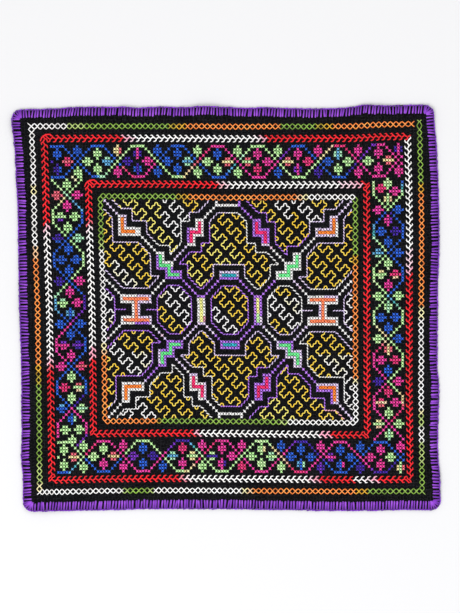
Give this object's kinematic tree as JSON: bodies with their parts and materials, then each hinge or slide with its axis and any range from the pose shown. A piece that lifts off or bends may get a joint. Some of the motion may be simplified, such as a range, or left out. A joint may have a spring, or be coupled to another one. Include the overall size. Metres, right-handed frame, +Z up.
{
  "type": "embroidered cloth",
  "caption": "Small near-square black cotton cloth laid flat, with geometric embroidery in bright yarns inside flowered borders and a purple blanket-stitch edging.",
  "frame": {"origin": "under the middle of the cloth, on the surface that it lies on", "axes": "+Z up out of the embroidered face, +X to the right and +Y to the top of the cloth as seen from above"},
  "size_m": [0.3562, 0.3378, 0.0045],
  "materials": {
    "black_cotton": "matte plain-woven cotton",
    "purple_yarn": "soft twisted yarn",
    "embroidery_thread": "variegated embroidery thread, slight sheen"
  },
  "bodies": {
    "root": {"ground_cloth": "black_cotton", "edging_top": "purple_yarn", "edging_right": "purple_yarn", "edging_bottom": "purple_yarn", "edging_left": "purple_yarn"}
  },
  "joints": []
}
